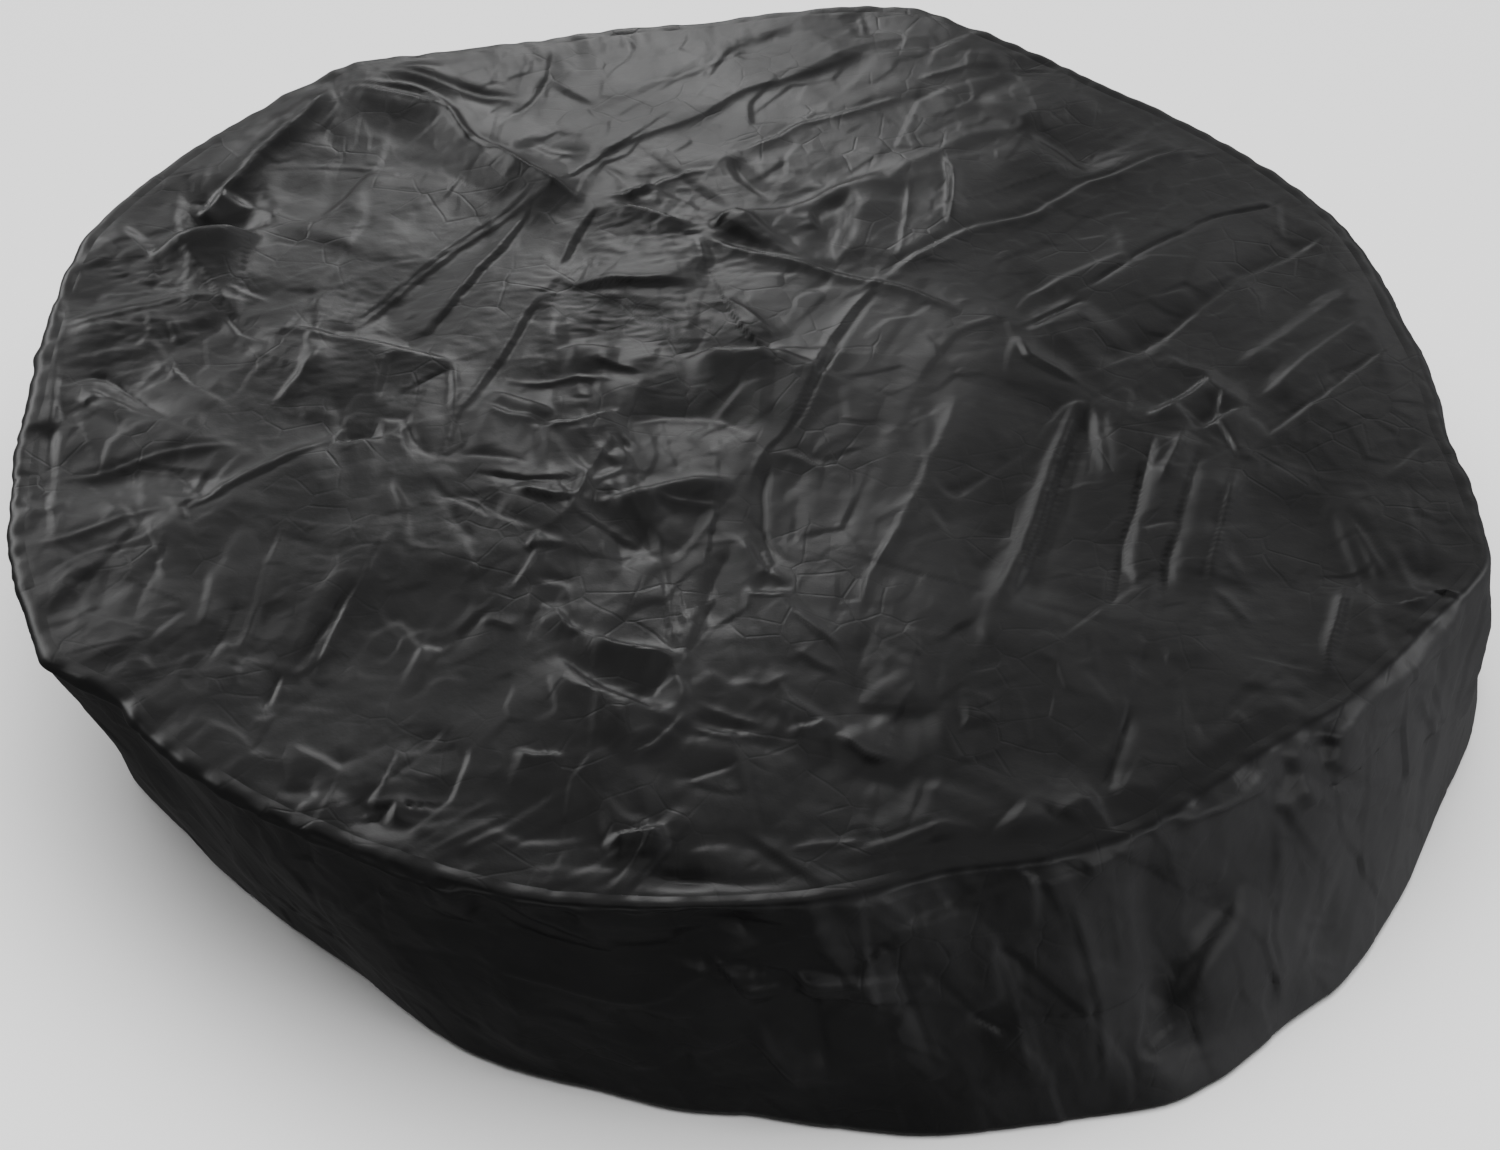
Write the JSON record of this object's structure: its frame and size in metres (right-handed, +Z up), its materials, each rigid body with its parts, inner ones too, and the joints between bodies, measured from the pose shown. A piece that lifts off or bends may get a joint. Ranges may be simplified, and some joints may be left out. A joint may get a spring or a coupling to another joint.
{
  "type": "spare tire cover",
  "caption": "Soft round cover for a caravan's spare wheel, with a flat face, a slack side band and an elasticated rear opening, lying empty.",
  "frame": {"origin": "middle of the overall box, on the surface that the cover lies on", "axes": "+Z up, out of the round face; the band's slack wall leans towards +X from face to foot"},
  "size_m": [0.756, 0.72, 0.157],
  "materials": {
    "coated_cloth": "black coated polyester taffeta, crisp, low sheen, packing creases",
    "binding": "black woven polyester binding, matte",
    "elastic": "black braided elastic, matte",
    "thread": "black spun polyester sewing thread"
  },
  "bodies": {
    "cover_base": {"side_band": "coated_cloth", "band_join_stitching": "thread", "hem_binding": "binding", "hem_stitching": "thread", "hem_elastic": "elastic", "elastic_tack_stitching": "thread"},
    "face": {"face_panel": "coated_cloth", "face_seam_stitching": "thread", "face_seam_overlock": "thread"}
  },
  "joints": [
    {"name": "face_drop", "type": "slide", "parent": "cover_base", "child": "face", "axis": [0, 0, 1], "range_m": [-0.1, 0], "deforming": ["side_band", "band_join_stitching"]}
  ]
}
